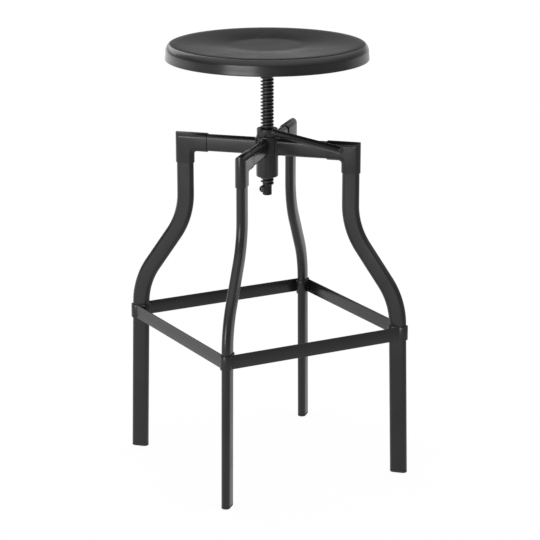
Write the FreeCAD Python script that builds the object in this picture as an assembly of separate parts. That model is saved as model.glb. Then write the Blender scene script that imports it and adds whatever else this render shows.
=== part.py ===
import FreeCAD, Part
import math
import os
from FreeCAD import Placement, Rotation, Vector

# Bar stool: a round pressed seat on a lifting screw, carried by four bent legs with a flat-bar footrest.
# Sizes are in millimetres. The origin lies on the floor under the screw and +Z points up.
# The footrest bars run along X and Y, so the legs stand on the diagonals.

# Seat pan, pressed from one sheet
SEAT_TOP = 746.5  # crest of the rim above the floor at the height shown
SEAT_RADIUS = 173.2  # outer edge of the skirt
SEAT_GAUGE = 1.5  # sheet thickness
SKIRT_DEPTH = 26.5  # from the crest down to the lower edge
SKIRT_FLARE = 1.2  # the lower edge stands out this far from the waist
CREST_RADIUS = 5.0  # tight roll over the crest
SHOULDER_RADIUS = 15.0  # wide roll from the crest's roll down to the waist
SHOULDER_DEG = 48.0  # degrees above level that the sheet faces where the two rolls meet
PANEL_RADIUS = 63.0  # flat round centre
PANEL_DROP = 3.5  # centre panel below the crest

# Plate that joins pan and screw
PLATE_RADIUS = 58.0
PLATE_THICKNESS = 4.0
PLATE_CHAMFER = 1.0

# Lifting screw, right-hand trapezoidal thread
PITCH = 6.0
SCREW_RADIUS = 11.5  # over the thread
ROOT_RADIUS = 8.0  # thread root, also the plain neck and tail
CREST_WIDTH = 2.0  # flat on top of the thread
FLANK_DEG = 15.0  # degrees from square to the axis
THREAD_SINK = 1.0  # how deep the thread's ridge is let into the core
NECK_LENGTH = 12.0  # plain length under the seat plate
TAIL_LENGTH = 17.0  # plain length at the lower end
TAIL_DROP = 32.5  # screw end below the hub
TAIL_CHAMFER = 1.5

# Washer trapped on the neck
WASHER_RADIUS = 20.0
WASHER_THICKNESS = 3.0
WASHER_CHAMFER = 0.6

# Stop bolt across the screw's tail
BOLT_RADIUS = 3.0
BOLT_LENGTH = 11.0
BOLT_HEAD_RADIUS = 6.2
BOLT_HEAD_HEIGHT = 6.0
BOLT_HEAD_RIM = 2.0  # straight edge under the dome
BOLT_CROWN_RADIUS = 4.2  # flat on top of the dome
BOLT_DOME_BULGE = 0.7  # height of the dome's arc over its chord
BOLT_SOCKET_FLATS = 5.0
BOLT_SOCKET_DEPTH = 3.0
BOLT_RISE = 11.0  # bolt axis above the screw's end
BOLT_FLAT = 7.2  # milled seat of the head, from the screw's axis
FLAT_MARGIN = 0.6  # the milled seat is wider than the head by this much all round

# Hub
ARM_HEIGHT = 568.0  # centreline of the arms above the floor
HUB_RADIUS = 19.0
HUB_RISE = 18.5  # top of the hub above the arms' centreline
HUB_LENGTH = 71.0
HUB_FOOT_CHAMFER = 2.5
HUB_TOP_CHAMFER = 0.8

# Lock nut and its lever
NUT_RADIUS = 18.0
NUT_HEIGHT = 13.0
NUT_ROUND = 1.4  # rounded upper edge
LEVER_RADIUS = 6.25
LEVER_REACH = 163.0  # screw axis to the lever's end, along the lever
LEVER_AZIMUTH_DEG = -68.7
LEVER_DROOP_DEG = 3.9
LEVER_TIP_ROUND = 1.6
LEVER_DIMPLE_RADIUS = 1.6  # centre mark drilled in the lever's end
LEVER_DIMPLE_DEPTH = 1.5
LEVER_BACK_DEG = 30.0  # how far the lever turns clockwise, seen from above
LEVER_ON_DEG = 12.0  # how far it turns the other way

# Flat-oval tube of the arms and legs
TUBE_DEPTH = 30.0
TUBE_WIDTH = 15.0
TUBE_WALL = 1.5

# Elbow sleeves
ELBOW_WALL = 1.7
ELBOW_ARM_LENGTH = 58.0  # outer corner to the mouth round the arm
ELBOW_LEG_LENGTH = 53.5  # outer corner to the mouth round the leg
ELBOW_WEB = 1.5  # metal left between a socket's floor and the other tube's line
ELBOW_INNER_RADIUS = 5.0

# Legs
LEG_TOP_RADIUS = 148.0  # upright upper run, from the screw's axis
FOOT_RADIUS = 239.6  # centreline at the floor
LEG_SPLAY_DEG = 1.3  # degrees that the lower run leans out
LEG_SLANT_DEG = 34.2  # degrees from upright of the slanting run
LEG_SLANT_HEIGHT = 374.0  # height at which the slanting run passes half way out
LEG_BEND_RADIUS = 131.0

# Feet
FOOT_FLANGE = 3.8
FOOT_PLUG_LENGTH = 14.0
FOOT_ROUND = 1.2

# Footrest
FOOTREST_HEIGHT = 255.0  # mid height of the bars
BAR_HEIGHT = 24.0
BAR_THICKNESS = 2.5
BAR_HOOK_RUN = 2.0  # straight stretch along the leg's wide side
BAR_BEND_RADIUS = 2.0  # inside of the bend where a bar leaves the leg
CLIP_THICKNESS = 2.0

# Clearances
THREAD_GAP = 0.3  # between screw and hub thread, square to the surface
RUNNING_GAP = 0.08  # washer bore round the neck
SEAT_GAP = 0.3  # flat faces that turn on each other
SOCKET_GAP = 0.1  # tube in its sleeve, plug in its tube
WELD_GAP = 0.05  # root gap of a welded joint
BAND_GAP = 0.1  # bars and clips round a leg
BOLT_GAP = 0.05
PLATE_FIT = 0.1  # screw neck in the seat plate

UP = Vector(0, 0, 1)
OUT = Vector(1, 0, 0)  # away from the screw, in each leg's own frame
SIDE = Vector(0, 1, 0)
CENTRE = Vector(0, 0, 0)
TINY = 1e-6
FAR = 2000.0  # larger than the stool

# Anticlockwise, seen from above; each bar runs from the leg of the same place to the next
CORNERS = ["back_right", "back_left", "front_left", "front_right"]
BAR_SIDES = ["back", "left", "front", "right"]

# Heights that follow from the sizes above
HUB_TOP = ARM_HEIGHT + HUB_RISE
HUB_FOOT = HUB_TOP - HUB_LENGTH
NUT_FOOT = HUB_TOP + SEAT_GAP
NUT_TOP = NUT_FOOT + NUT_HEIGHT
PLATE_TOP = SEAT_TOP - PANEL_DROP - SEAT_GAUGE
PLATE_FOOT = PLATE_TOP - PLATE_THICKNESS
SCREW_END = HUB_FOOT - TAIL_DROP
THREAD_LOW = SCREW_END + TAIL_LENGTH
THREAD_HIGH = PLATE_FOOT - NECK_LENGTH
BOLT_HEIGHT = SCREW_END + BOLT_RISE


def export(shape, node):
    """Write one piece to its own file."""
    shape.exportStep(os.path.join("parts", node + ".step"))


def turned(shape, degrees):
    """The shape turned about the screw's axis."""
    return shape.rotated(CENTRE, UP, degrees)


def unit(vector):
    """The vector's direction."""
    return Vector(vector).normalize()


def face_of(*edges):
    """Flat face inside a closed run of edges."""
    return Part.Face(Part.Wire(edges))


def polygon(points):
    """Flat face inside a closed run of points."""
    return Part.Face(Part.makePolygon(points + points[:1]))


def spun(points):
    """Solid of revolution about the screw's axis, from (radius, height) corners."""
    return polygon([Vector(radius, 0, height) for radius, height in points]).revolve(CENTRE, UP, 360)


def flat_oval(depth, width):
    """Flat-oval face round the origin, its depth along X and its width along Y."""
    flat = (depth - width) / 2
    half = width / 2
    return face_of(
        Part.LineSegment(Vector(-flat, -half, 0), Vector(flat, -half, 0)).toShape(),
        Part.Arc(Vector(flat, -half, 0), Vector(flat + half, 0, 0), Vector(flat, half, 0)).toShape(),
        Part.LineSegment(Vector(flat, half, 0), Vector(-flat, half, 0)).toShape(),
        Part.Arc(Vector(-flat, half, 0), Vector(-flat - half, 0, 0), Vector(-flat, -half, 0)).toShape(),
    )


def flat_bar(thickness, height):
    """Rectangular face round the origin, its thickness along X and its height along Y."""
    x = thickness / 2
    y = height / 2
    return polygon([Vector(-x, -y, 0), Vector(x, -y, 0), Vector(x, y, 0), Vector(-x, y, 0)])


def placed(section, point, heading, across):
    """The section moved to a point, square to the heading, with its Y along across."""
    moved = section.copy()
    moved.Placement = Placement(point, Rotation(across.cross(heading), across, heading, "ZYX"))
    return moved


def bent_bar(corners, radii, across, section):
    """Solid bar of one section along corners in a plane, each inner corner rounded on the centreline."""
    pieces = []

    def straight(start, end):
        if (end - start).Length > TINY:
            pieces.append(placed(section, start, unit(end - start), across).extrude(end - start))

    start = corners[0]
    for before, corner, after, radius in zip(corners, corners[1:], corners[2:], radii):
        heading = unit(corner - before)
        leaving = unit(after - corner)
        turn = math.atan2(across.dot(heading.cross(leaving)), heading.dot(leaving))
        axis = across * math.copysign(1, turn)
        trim = radius * math.tan(abs(turn) / 2)
        bend_start = corner - heading * trim
        straight(start, bend_start)
        centre = bend_start + axis.cross(heading) * radius
        bend = placed(section, bend_start, heading, across).revolve(centre, axis, math.degrees(abs(turn)))
        pieces.append(bend)
        start = corner + leaving * trim
    straight(start, corners[-1])
    return pieces[0].fuse(pieces[1:]).removeSplitter()


def thread_ridge(low, high, gap, flank_gap, shift):
    """Helical ridge of the thread between two heights, swollen by its gaps and shifted along the axis."""
    slope = math.tan(math.radians(FLANK_DEG))
    foot_radius = ROOT_RADIUS - THREAD_SINK
    crest_radius = SCREW_RADIUS + gap
    crest = CREST_WIDTH / 2 + flank_gap
    base = crest + (SCREW_RADIUS - foot_radius) * slope
    crest -= gap * slope
    profile = Part.makePolygon([
        Vector(foot_radius, 0, -base),
        Vector(crest_radius, 0, -crest),
        Vector(crest_radius, 0, crest),
        Vector(foot_radius, 0, base),
        Vector(foot_radius, 0, -base),
    ])
    start = low + base
    helix = Part.makeLongHelix(PITCH, high - base - start, ROOT_RADIUS, 0)
    ridge = Part.Wire(helix.Edges).makePipeShell([profile], True, True)
    ridge = turned(ridge, 360 * (start - shift) / PITCH)
    return ridge.translated(UP * start)


def threaded_bore(low, high, flank_gap, shift):
    """What is cut from a nut so that the lifting screw runs in it, open at both ends."""
    bore = Part.makeCylinder(ROOT_RADIUS + THREAD_GAP, high - low + 2 * PITCH, UP * (low - PITCH))
    return bore.fuse(thread_ridge(low - PITCH, high + PITCH, THREAD_GAP, flank_gap, shift))


def seat_pan():
    """Pressed dish: flat centre, shallow cone, rim rolled in two radii, skirt flared below its waist."""
    panel_height = SEAT_TOP - PANEL_DROP
    edge_height = SEAT_TOP - SKIRT_DEPTH
    waist = SEAT_RADIUS - SKIRT_FLARE
    meeting = math.radians(SHOULDER_DEG)
    slack = SHOULDER_RADIUS - CREST_RADIUS
    crest = Vector(waist - SHOULDER_RADIUS + slack * math.cos(meeting), 0, SEAT_TOP - CREST_RADIUS)
    shoulder = Vector(waist - SHOULDER_RADIUS, 0, crest.z - slack * math.sin(meeting))

    def rolled(centre, radius, angle):
        return centre + Vector(math.cos(angle), 0, math.sin(angle)) * radius

    # The cone leaves the panel's edge and meets the crest's roll as its tangent
    to_crest = crest - Vector(PANEL_RADIUS, 0, panel_height)
    cone = math.atan2(to_crest.z, to_crest.x) + math.asin(CREST_RADIUS / to_crest.Length)
    cone_end = math.pi / 2 + cone
    corners = [
        Vector(0, 0, panel_height),
        Vector(PANEL_RADIUS, 0, panel_height),
        rolled(crest, CREST_RADIUS, cone_end),
        rolled(crest, CREST_RADIUS, meeting),
        rolled(shoulder, SHOULDER_RADIUS, 0),
        Vector(SEAT_RADIUS, 0, edge_height),
        Vector(0, 0, edge_height),
    ]
    edges = [Part.LineSegment(a, b).toShape() for a, b in zip(corners, corners[1:] + corners[:1])]
    crest_mid = rolled(crest, CREST_RADIUS, (cone_end + meeting) / 2)
    shoulder_mid = rolled(shoulder, SHOULDER_RADIUS, meeting / 2)
    edges[2] = Part.Arc(corners[2], crest_mid, corners[3]).toShape()
    edges[3] = Part.Arc(corners[3], shoulder_mid, corners[4]).toShape()
    block = face_of(*edges).revolve(CENTRE, UP, 360)
    open_face = min(block.Faces, key=lambda face: face.CenterOfMass.z)
    return block.makeThickness([open_face], -SEAT_GAUGE, TINY)


def seat_plate():
    """Round plate with a hole for the screw's neck."""
    foot = PLATE_FOOT
    bore = ROOT_RADIUS + PLATE_FIT
    return spun([
        (bore, foot),
        (PLATE_RADIUS - PLATE_CHAMFER, foot),
        (PLATE_RADIUS, foot + PLATE_CHAMFER),
        (PLATE_RADIUS, PLATE_TOP),
        (bore, PLATE_TOP),
    ])


def bump_washer():
    """Washer that turns freely on the screw's neck, just under the seat plate."""
    top = PLATE_FOOT - SEAT_GAP
    foot = top - WASHER_THICKNESS
    bore = ROOT_RADIUS + RUNNING_GAP
    return spun([
        (bore, foot),
        (WASHER_RADIUS - WASHER_CHAMFER, foot),
        (WASHER_RADIUS, foot + WASHER_CHAMFER),
        (WASHER_RADIUS, top - WASHER_CHAMFER),
        (WASHER_RADIUS - WASHER_CHAMFER, top),
        (bore, top),
    ])


def bolt_placement():
    """Where the stop bolt's head sits: on the milled flat, its crown towards -X."""
    return Placement(Vector(-BOLT_FLAT, 0, BOLT_HEIGHT), Rotation(UP, -OUT))


def lift_screw():
    """Threaded bar with a plain neck and tail, a milled flat and a tapped hole for the stop bolt."""
    core = spun([
        (0, SCREW_END),
        (ROOT_RADIUS - TAIL_CHAMFER, SCREW_END),
        (ROOT_RADIUS, SCREW_END + TAIL_CHAMFER),
        (ROOT_RADIUS, PLATE_TOP),
        (0, PLATE_TOP),
    ])
    flat_half = BOLT_HEAD_RADIUS + FLAT_MARGIN
    flat = Part.makeBox(ROOT_RADIUS, 2 * ROOT_RADIUS, 2 * flat_half,
                        Vector(-BOLT_FLAT - ROOT_RADIUS, -ROOT_RADIUS, BOLT_HEIGHT - flat_half))
    hole = Part.makeCylinder(BOLT_RADIUS + BOLT_GAP, BOLT_LENGTH + BOLT_RADIUS, CENTRE, -UP)
    hole.Placement = bolt_placement()
    screw = core.fuse(thread_ridge(THREAD_LOW, THREAD_HIGH, 0, 0, 0))
    return screw.cut([flat, hole])


def stop_bolt():
    """Dome-headed bolt with a six-sided socket."""
    rim = Vector(BOLT_HEAD_RADIUS, 0, BOLT_HEAD_RIM)
    crown = Vector(BOLT_CROWN_RADIUS, 0, BOLT_HEAD_HEIGHT)
    chord = crown - rim
    dome_mid = rim + chord / 2 + unit(Vector(chord.z, 0, -chord.x)) * BOLT_DOME_BULGE
    corners = [
        crown,
        Vector(0, 0, BOLT_HEAD_HEIGHT),
        Vector(0, 0, -BOLT_LENGTH),
        Vector(BOLT_RADIUS, 0, -BOLT_LENGTH),
        Vector(BOLT_RADIUS, 0, 0),
        Vector(BOLT_HEAD_RADIUS, 0, 0),
        rim,
    ]
    edges = [Part.LineSegment(a, b).toShape() for a, b in zip(corners, corners[1:])]
    edges.append(Part.Arc(rim, dome_mid, crown).toShape())
    body = face_of(*edges).revolve(CENTRE, UP, 360)
    across_corners = BOLT_SOCKET_FLATS / math.cos(math.pi / 6) / 2
    hexagon = [turned(Part.Vertex(across_corners, 0, BOLT_HEAD_HEIGHT), 60 * k).Point for k in range(6)]
    bolt = body.cut(polygon(hexagon).extrude(-UP * BOLT_SOCKET_DEPTH))
    bolt.Placement = bolt_placement()
    return bolt


def hub():
    """Thick barrel, threaded for the lifting screw."""
    barrel = spun([
        (0, HUB_FOOT),
        (HUB_RADIUS - HUB_FOOT_CHAMFER, HUB_FOOT),
        (HUB_RADIUS, HUB_FOOT + HUB_FOOT_CHAMFER),
        (HUB_RADIUS, HUB_TOP - HUB_TOP_CHAMFER),
        (HUB_RADIUS - HUB_TOP_CHAMFER, HUB_TOP),
        (0, HUB_TOP),
    ])
    flank_gap = THREAD_GAP / math.cos(math.radians(FLANK_DEG))
    return barrel.cut(threaded_bore(HUB_FOOT, HUB_TOP, flank_gap, 0))


def lock_nut():
    """Round collar whose thread has the backlash that its lever's swing needs."""
    blank = Part.makeCylinder(NUT_RADIUS, NUT_HEIGHT, UP * NUT_FOOT)
    upper_edge = max(blank.Edges, key=lambda edge: edge.CenterOfMass.z)
    blank = blank.makeFillet(NUT_ROUND, [upper_edge])
    travel = PITCH / 360
    backlash = (LEVER_BACK_DEG + LEVER_ON_DEG) / 2 * travel
    shift = (LEVER_ON_DEG - LEVER_BACK_DEG) / 2 * travel
    flank_gap = backlash + THREAD_GAP / math.cos(math.radians(FLANK_DEG))
    return blank.cut(threaded_bore(NUT_FOOT, NUT_TOP, flank_gap, shift))


def lock_lever():
    """Round bar that meets the nut's side just above the hub and droops towards its rounded end."""
    droop = math.radians(LEVER_DROOP_DEG)
    rod = Part.makeCylinder(LEVER_RADIUS, LEVER_REACH, CENTRE, OUT)
    end_edge = max(rod.Edges, key=lambda edge: edge.CenterOfMass.x)
    rod = rod.makeFillet(LEVER_TIP_ROUND, [end_edge])
    dimple = Part.makeCone(LEVER_DIMPLE_RADIUS, 0, LEVER_DIMPLE_DEPTH, OUT * LEVER_REACH, -OUT)
    rod = rod.cut(dimple).rotated(CENTRE, SIDE, LEVER_DROOP_DEG)
    root_height = HUB_TOP + SEAT_GAP + LEVER_RADIUS / math.cos(droop)
    axis_height = root_height + (HUB_RADIUS + SEAT_GAP) * math.tan(droop)
    rod.translate(UP * axis_height)
    around_nut = Part.makeCylinder(NUT_RADIUS + WELD_GAP, FAR, UP * (axis_height - FAR / 2))
    return turned(rod.cut(around_nut), LEVER_AZIMUTH_DEG)


def elbow_corner():
    """Centreline corner where an arm's line meets its leg's line."""
    return Vector(LEG_TOP_RADIUS, 0, ARM_HEIGHT)


def arm_end():
    """Radius at which an arm's tube meets the floor of its socket."""
    return LEG_TOP_RADIUS - TUBE_DEPTH / 2 - ELBOW_WEB


def leg_top():
    """Height at which a leg's tube meets the roof of its socket."""
    return ARM_HEIGHT - TUBE_DEPTH / 2 - ELBOW_WEB


def arm():
    """Flat-oval tube from the hub into its elbow, cut to the hub's round side."""
    run = [Vector(0, 0, ARM_HEIGHT), Vector(arm_end(), 0, ARM_HEIGHT)]
    outer = bent_bar(run, [], SIDE, flat_oval(TUBE_DEPTH, TUBE_WIDTH))
    inner = bent_bar(run, [], SIDE, flat_oval(TUBE_DEPTH - 2 * TUBE_WALL, TUBE_WIDTH - 2 * TUBE_WALL))
    barrel = Part.makeCylinder(HUB_RADIUS + WELD_GAP, HUB_LENGTH, UP * HUB_FOOT)
    return outer.cut([inner, barrel])


def elbow():
    """Sleeve with a mitred outer corner, a rounded inner corner and a socket each way."""
    corner = elbow_corner()
    depth = TUBE_DEPTH + 2 * ELBOW_WALL
    width = TUBE_WIDTH + 2 * ELBOW_WALL
    section = flat_oval(depth, width)
    half = depth / 2
    arm_mouth = corner + OUT * (half - ELBOW_ARM_LENGTH)
    leg_mouth = corner + UP * (half - ELBOW_LEG_LENGTH)
    along_arm = bent_bar([arm_mouth, corner + OUT * half], [], SIDE, section)
    along_leg = bent_bar([corner + UP * half, leg_mouth], [], SIDE, section)
    # The two runs meet on the slope through the inner and the outer corner
    inside = corner - (OUT + UP) * FAR
    outside = corner + (OUT + UP) * half
    to_near_side = SIDE * -FAR / 2
    arm_side = polygon([inside, outside, outside - OUT * FAR]).extrude(SIDE * FAR).translated(to_near_side)
    leg_side = polygon([inside, outside, outside - UP * FAR]).extrude(SIDE * FAR).translated(to_near_side)
    bend = half + ELBOW_INNER_RADIUS
    inner_round = bent_bar([corner - OUT * bend, corner, corner - UP * bend], [bend], SIDE, section)
    body = along_arm.common(arm_side).fuse([along_leg.common(leg_side), inner_round]).removeSplitter()
    socket = flat_oval(TUBE_DEPTH + 2 * SOCKET_GAP, TUBE_WIDTH + 2 * SOCKET_GAP)
    arm_socket = bent_bar([arm_mouth, Vector(arm_end(), 0, ARM_HEIGHT)], [], SIDE, socket)
    leg_socket = bent_bar([leg_mouth, Vector(LEG_TOP_RADIUS, 0, leg_top())], [], SIDE, socket)
    return body.cut([arm_socket, leg_socket])


def leg_line():
    """Corners of a leg's centreline, from its socket to below the floor."""
    slope = math.tan(math.radians(LEG_SLANT_DEG))
    lean = math.tan(math.radians(LEG_SPLAY_DEG))
    lower_radius = FOOT_RADIUS - LEG_SLANT_HEIGHT * lean
    half_way = (LEG_TOP_RADIUS + lower_radius) / 2
    rise = (half_way - LEG_TOP_RADIUS) / slope
    # Below half way the slanting run meets the leaning lower run
    fall = (lower_radius - half_way) / (slope - lean)
    knee_height = LEG_SLANT_HEIGHT - fall
    below = TUBE_DEPTH
    return [
        Vector(LEG_TOP_RADIUS, 0, leg_top()),
        Vector(LEG_TOP_RADIUS, 0, LEG_SLANT_HEIGHT + rise),
        Vector(FOOT_RADIUS - knee_height * lean, 0, knee_height),
        Vector(FOOT_RADIUS + below * lean, 0, -below),
    ]


def above(height):
    """Block that holds everything above a height."""
    return Part.makeBox(2 * FAR, 2 * FAR, FAR, Vector(-FAR, -FAR, height))


def leg_filled(wall):
    """The bent leg without its hollow, inset by a wall all round."""
    section = flat_oval(TUBE_DEPTH - 2 * wall, TUBE_WIDTH - 2 * wall)
    return bent_bar(leg_line(), [LEG_BEND_RADIUS, LEG_BEND_RADIUS], SIDE, section)


def leg():
    """Flat-oval tube with an S-bend, its lower end cut level above the foot's flange."""
    return leg_filled(0).cut(leg_filled(TUBE_WALL)).common(above(FOOT_FLANGE))


def foot():
    """Plug in the leg's end with a flange as wide as the tube, level with the floor."""
    line = leg_line()[-2:]
    inset = 2 * (TUBE_WALL + SOCKET_GAP)
    flange = bent_bar(line, [], SIDE, flat_oval(TUBE_DEPTH, TUBE_WIDTH))
    flange = flange.common(above(0)).cut(above(FOOT_FLANGE))
    sole = min(flange.Faces, key=lambda face: face.CenterOfMass.z)
    flange = flange.makeFillet(FOOT_ROUND, sole.Edges)
    plug = bent_bar(line, [], SIDE, flat_oval(TUBE_DEPTH - inset, TUBE_WIDTH - inset))
    plug = plug.common(above(FOOT_FLANGE)).cut(above(FOOT_FLANGE + FOOT_PLUG_LENGTH))
    return flange.fuse(plug)


def held_edges():
    """Radii of the leg's inner and outer edges over the height that the footrest takes up."""
    half = BAR_HEIGHT / 2
    slab = above(FOOTREST_HEIGHT - half).cut(above(FOOTREST_HEIGHT + half))
    reach = leg_filled(0).common(slab).optimalBoundingBox(False, False)
    return reach.XMin, reach.XMax


def footrest_bar(outer_edge):
    """Flat bar between two legs, each end hooked round half of a leg's outer edge."""
    edge_centre = outer_edge - TUBE_WIDTH / 2
    hook = TUBE_WIDTH / 2 + BAND_GAP + BAR_THICKNESS / 2
    bend = BAR_BEND_RADIUS + BAR_THICKNESS / 2
    leave = edge_centre - BAR_HOOK_RUN - bend * math.tan(math.pi / 8)
    half = [
        Vector(edge_centre + hook, 0, FOOTREST_HEIGHT),
        Vector(edge_centre + hook, hook, FOOTREST_HEIGHT),
        Vector(leave, hook, FOOTREST_HEIGHT),
    ]
    mirrored = [Vector(point.y, point.x, point.z) for point in reversed(half)]
    return bent_bar(half + mirrored, [hook, bend, bend, hook], UP, flat_bar(BAR_THICKNESS, BAR_HEIGHT))


def leg_clip(inner_edge, outer_edge, bar_before, bar_after):
    """Strap round the leg's inner edge, its ends cut to the backs of the two bars."""
    wrap = TUBE_WIDTH / 2 + BAND_GAP + CLIP_THICKNESS / 2
    inner = inner_edge + TUBE_WIDTH / 2 - wrap
    strap = bent_bar([
        Vector(outer_edge, wrap, FOOTREST_HEIGHT),
        Vector(inner, wrap, FOOTREST_HEIGHT),
        Vector(inner, -wrap, FOOTREST_HEIGHT),
        Vector(outer_edge, -wrap, FOOTREST_HEIGHT),
    ], [wrap, wrap], UP, flat_bar(CLIP_THICKNESS, BAR_HEIGHT))
    rest = strap.cut([bar_before, bar_after])
    return min(rest.Solids, key=lambda solid: solid.CenterOfMass.x)


def main():
    """Build every piece in its place and write it."""
    os.makedirs("parts", exist_ok=True)
    export(seat_pan(), "seat_pan")
    export(seat_plate(), "seat_plate")
    export(bump_washer(), "bump_washer")
    export(lift_screw(), "lift_screw")
    export(stop_bolt(), "stop_bolt")
    export(hub(), "hub")
    export(lock_nut(), "lock_nut")
    export(lock_lever(), "lock_lever")
    quarter = 360 / len(CORNERS)
    inner_edge, outer_edge = held_edges()
    bar = footrest_bar(outer_edge)
    corner_pieces = {
        "arm": arm(),
        "elbow": elbow(),
        "leg": leg(),
        "foot": foot(),
        "leg_clip": leg_clip(inner_edge, outer_edge, turned(bar, -quarter), bar),
    }
    for place, (corner, side) in enumerate(zip(CORNERS, BAR_SIDES)):
        azimuth = quarter * (place + 0.5)
        for name, piece in corner_pieces.items():
            export(turned(piece, azimuth), name + "_" + corner)
        export(turned(bar, azimuth), "footrest_bar_" + side)


main()
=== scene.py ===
"""Bar stool with a screw-lifted seat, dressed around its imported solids.

Every mesh is worked in millimetres in the stool's own frame, with the floor at zero and the screw on
the Z axis, and is scaled to metres when it is finished.
"""

import logging
import math
from collections.abc import Callable, Iterable, Sequence
from dataclasses import dataclass
from enum import Enum
from functools import partial
from typing import Any

import bmesh
import bpy
from bmesh.types import BMEdge, BMVert
from mathutils import Matrix, Vector


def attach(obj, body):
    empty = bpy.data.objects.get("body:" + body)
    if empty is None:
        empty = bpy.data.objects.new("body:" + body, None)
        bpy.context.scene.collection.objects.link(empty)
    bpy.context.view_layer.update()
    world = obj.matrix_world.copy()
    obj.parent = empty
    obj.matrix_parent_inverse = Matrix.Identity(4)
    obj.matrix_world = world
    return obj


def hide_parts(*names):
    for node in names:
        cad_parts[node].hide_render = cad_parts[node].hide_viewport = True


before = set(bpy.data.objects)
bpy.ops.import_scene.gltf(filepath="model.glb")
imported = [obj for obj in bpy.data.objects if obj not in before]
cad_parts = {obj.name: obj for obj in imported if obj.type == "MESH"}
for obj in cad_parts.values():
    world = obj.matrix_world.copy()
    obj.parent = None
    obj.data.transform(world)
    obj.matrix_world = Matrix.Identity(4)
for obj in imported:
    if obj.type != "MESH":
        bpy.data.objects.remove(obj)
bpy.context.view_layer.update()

Pair = tuple[float, float]
Triple = tuple[float, float, float]
AddNode = Callable[..., bpy.types.Node]
Edges = Sequence[BMEdge]
EdgeList = list[BMEdge]

LOG = logging.getLogger("bar_stool")
MM = 0.001  # metres in a millimetre
UP = Vector((0, 0, 1))
OUT = Vector((1, 0, 0))  # away from the screw, in each leg's own frame
SIDE = Vector((0, 1, 0))
TOUCH = 1e-3  # mm, two points closer than this are one
ON_RING = 0.02  # mm, a point this near to a ring belongs to it
LEVEL: Triple = (1.0, 1.0, 0.0)  # takes the height out of a direction
NOISE_SPAN: Pair = (0.3, 0.7)  # where nearly all of a noise lies
WAVE_LENGTH = math.pi / 10  # metres of one wave of Blender's wave texture at a scale of 1
WHITE = "#ffffff"


class Body(Enum):
    """The bodies that a piece can ride on."""

    FRAME = "frame"
    WASHER = "column_washer"
    SEAT = "seat"
    LOCK = "lock"


class Slot(Enum):
    """The record's material slots, each with the body that its pieces ride on."""

    SEAT_COAT = ("seat_coat", Body.SEAT)
    FRAME_COAT = ("frame_coat", Body.FRAME)
    LOCK_COAT = ("lock_coat", Body.LOCK)
    SCREW = ("screw_steel", Body.SEAT)
    BOLT = ("bolt_steel", Body.SEAT)
    WASHER = ("washer_plastic", Body.WASHER)
    FOOT = ("foot_plastic", Body.FRAME)


class Spot(Enum):
    """Places round the screw, each with its azimuth in degrees."""

    @property
    def label(self) -> str:
        """What the place is called in the names of pieces and nodes."""
        return self.name.lower()


class Corner(Spot):
    """The four legs, anticlockwise from above."""

    BACK_RIGHT = 45.0
    BACK_LEFT = 135.0
    FRONT_LEFT = 225.0
    FRONT_RIGHT = 315.0


class Side(Spot):
    """The footrest's bars, each at the azimuth of the leg that it starts from."""

    BACK = 45.0
    LEFT = 135.0
    FRONT = 225.0
    RIGHT = 315.0


def linear(hex_code: str) -> tuple[float, float, float, float]:
    """Turn an sRGB hex colour into linear light.

    Args:
        hex_code: Colour as "#rrggbb".

    Returns:
        Linear red, green and blue, and full alpha.
    """
    levels = [int(hex_code[place:place + 2], 16) / 255 for place in (1, 3, 5)]
    red, green, blue = (v / 12.92 if v <= 0.04045 else ((v + 0.055) / 1.055) ** 2.4 for v in levels)
    return red, green, blue, 1.0


def add_node(tree: bpy.types.NodeTree, kind: str, inputs: dict[str | int, Any] | Sequence[Any] = (),
             **settings: Any) -> bpy.types.Node:
    """Add one shader node with its settings and links.

    Args:
        tree: Node tree that the node joins.
        kind: Node type, without the words that all shader nodes begin with.
        inputs: Values, sockets, or nodes for their first socket, by input name or in order.
        settings: Attributes to set on the node.

    Returns:
        The new node.
    """
    node = tree.nodes.new("ShaderNode" + kind)
    for name, value in settings.items():
        setattr(node, name, value)
    for name, value in inputs.items() if isinstance(inputs, dict) else enumerate(inputs):
        if isinstance(value, bpy.types.Node):
            value = value.outputs[0]
        if isinstance(value, bpy.types.NodeSocket):
            tree.links.new(value, node.inputs[name])
        else:
            node.inputs[name].default_value = value
    return node


def clear_nodes(owner: bpy.types.Material | bpy.types.World) -> AddNode:
    """Empty the node tree of a material or world.

    Args:
        owner: What the tree belongs to.

    Returns:
        What adds a node to that tree.
    """
    owner.use_nodes = True
    owner.node_tree.nodes.clear()
    return partial(add_node, owner.node_tree)


def per_metre(size_mm: float) -> float:
    """Texture scale at which one cell of a pattern is this many millimetres wide."""
    return 1 / (size_mm * MM)


@dataclass(frozen=True)
class Finish:
    """What a surface is."""

    name: str

    def material(self) -> bpy.types.Material:
        """Give the finish's material, made once.

        Returns:
            The material.
        """
        found = bpy.data.materials.get(self.name)
        if found:
            return found
        made = bpy.data.materials.new(self.name)
        add = clear_nodes(made)
        add("OutputMaterial", {"Surface": self.skin_shader(add)})
        return made

    def skin_shader(self, add: AddNode) -> bpy.types.Node:
        """Wire the surface and give its shader."""
        raise NotImplementedError


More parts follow.
